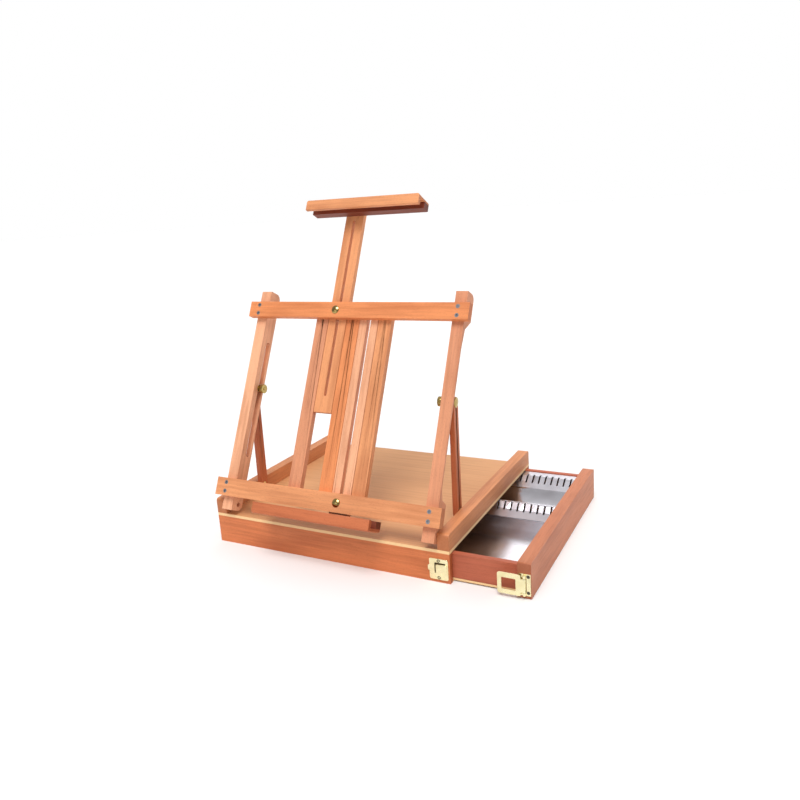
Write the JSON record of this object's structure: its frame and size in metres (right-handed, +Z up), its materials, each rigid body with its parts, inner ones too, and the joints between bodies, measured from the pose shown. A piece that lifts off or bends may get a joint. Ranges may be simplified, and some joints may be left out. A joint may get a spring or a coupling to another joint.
{
  "type": "tabletop easel",
  "caption": "Wooden box easel for a table: folding slotted frame with sliding clamp and ledge over a shallow box with a metal-lined side drawer.",
  "frame": {"origin": "centre of the underside of the box, on the surface it stands on", "axes": "+X along the front towards the drawer, +Y from front to back, +Z up"},
  "size_m": [0.5134, 0.3978, 0.5197],
  "materials": {
    "beech": "oiled satin",
    "beech_light": "oiled satin",
    "beech_dark": "oiled satin",
    "plywood": "satin",
    "brass": "polished",
    "zinc_steel": "bright zinc",
    "sheet_metal": "galvanised"
  },
  "bodies": {
    "base": {"front_wall": "beech", "back_wall": "beech", "left_wall": "beech", "bottom_panel": "plywood", "top_panel": "plywood", "left_rail": "beech", "right_rail": "beech", "rail_screws": "zinc_steel", "foot_pivot_screws": "zinc_steel", "strut_pivot_screws": "brass", "strut_spacers": "brass", "front_catch": "brass", "rear_catch": "brass", "catch_screws": "zinc_steel"},
    "drawer": {"drawer_front": "beech", "drawer_front_side": "beech_dark", "drawer_rear_side": "beech_dark", "drawer_end": "beech_dark", "drawer_bottom": "plywood", "paint_tray": "sheet_metal", "brush_trough": "sheet_metal", "front_comb": "sheet_metal", "rear_comb": "sheet_metal", "front_hasp_plate": "brass", "rear_hasp_plate": "brass", "hasp_screws": "zinc_steel", "hasp_pins": "brass"},
    "front_loop": {"front_hasp_loop": "brass"},
    "rear_loop": {"rear_hasp_loop": "brass"},
    "easel_frame": {"left_upright": "beech_light", "right_upright": "beech_light", "lower_bar": "beech", "upper_bar": "beech", "left_guide": "beech_light", "centre_guide": "beech_light", "right_guide": "beech_light", "bar_screws": "zinc_steel", "guide_screws": "zinc_steel", "upper_lock_bolt": "brass", "lower_lock_bolt": "brass", "lock_washers": "brass"},
    "upper_nut": {"upper_lock_nut": "brass"},
    "lower_nut": {"lower_lock_nut": "brass"},
    "mast_slide": {"mast": "beech_light", "clamp_block": "beech_dark", "clamp_lip": "beech_light", "clamp_screws": "zinc_steel"},
    "ledge": {"ledge_slider": "beech_light", "ledge_block": "beech_dark", "ledge_lip": "beech", "ledge_screws": "zinc_steel"},
    "left_strut": {"left_strut": "beech_dark", "left_strut_bolt": "brass"},
    "right_strut": {"right_strut": "beech_dark", "right_strut_bolt": "brass"},
    "left_nut": {"left_strut_nut": "brass"},
    "right_nut": {"right_strut_nut": "brass"}
  },
  "joints": [
    {"name": "drawer_slide", "type": "slide", "parent": "base", "child": "drawer", "axis": [1, 0, 0], "range_m": [-0.0947, 0.205]},
    {"name": "front_loop_hinge", "type": "hinge", "parent": "drawer", "child": "front_loop", "pos_m": [0.3045, -0.1794, 0.02], "axis": [0, 0, 1], "range_deg": [0, 150]},
    {"name": "rear_loop_hinge", "type": "hinge", "parent": "drawer", "child": "rear_loop", "pos_m": [0.3045, 0.1794, 0.02], "axis": [0, 0, -1], "range_deg": [0, 150]},
    {"name": "frame_tilt", "type": "hinge", "parent": "base", "child": "easel_frame", "pos_m": [0, -0.169, 0.063], "axis": [-1, 0, 0], "range_deg": [-5, 63.2]},
    {"name": "left_strut_fold", "type": "hinge", "parent": "base", "child": "left_strut", "pos_m": [-0.176, -0.0885, 0.066], "axis": [-1, 0, 0], "range_deg": [-7.5, 90]},
    {"name": "right_strut_fold", "type": "hinge", "parent": "base", "child": "right_strut", "pos_m": [0.176, -0.0885, 0.066], "axis": [-1, 0, 0], "range_deg": [-7.5, 90]},
    {"name": "mast_height", "type": "slide", "parent": "easel_frame", "child": "mast_slide", "axis": [0, 0.4509, 0.8926], "range_m": [-0.14, 0.12]},
    {"name": "ledge_height", "type": "slide", "parent": "easel_frame", "child": "ledge", "axis": [0, 0.4509, 0.8926], "range_m": [-0.06, 0]},
    {"name": "upper_nut_turn", "type": "hinge", "parent": "easel_frame", "child": "upper_nut", "pos_m": [-0.028, -0.02742, 0.34327], "axis": [0, 0.8926, -0.4509], "continuous": true},
    {"name": "lower_nut_turn", "type": "hinge", "parent": "easel_frame", "child": "lower_nut", "pos_m": [0.028, -0.15762, 0.08554], "axis": [0, 0.8926, -0.4509], "continuous": true},
    {"name": "left_nut_turn", "type": "hinge", "parent": "left_strut", "child": "left_nut", "pos_m": [-0.158, -0.08446, 0.23036], "axis": [1, 0, 0], "continuous": true},
    {"name": "right_nut_turn", "type": "hinge", "parent": "right_strut", "child": "right_nut", "pos_m": [0.158, -0.08446, 0.23036], "axis": [-1, 0, 0], "continuous": true}
  ],
  "couplings": [
    {"joint": "left_strut_fold", "follows": "frame_tilt", "ratio": 1.407},
    {"joint": "right_strut_fold", "follows": "frame_tilt", "ratio": 1.407}
  ]
}
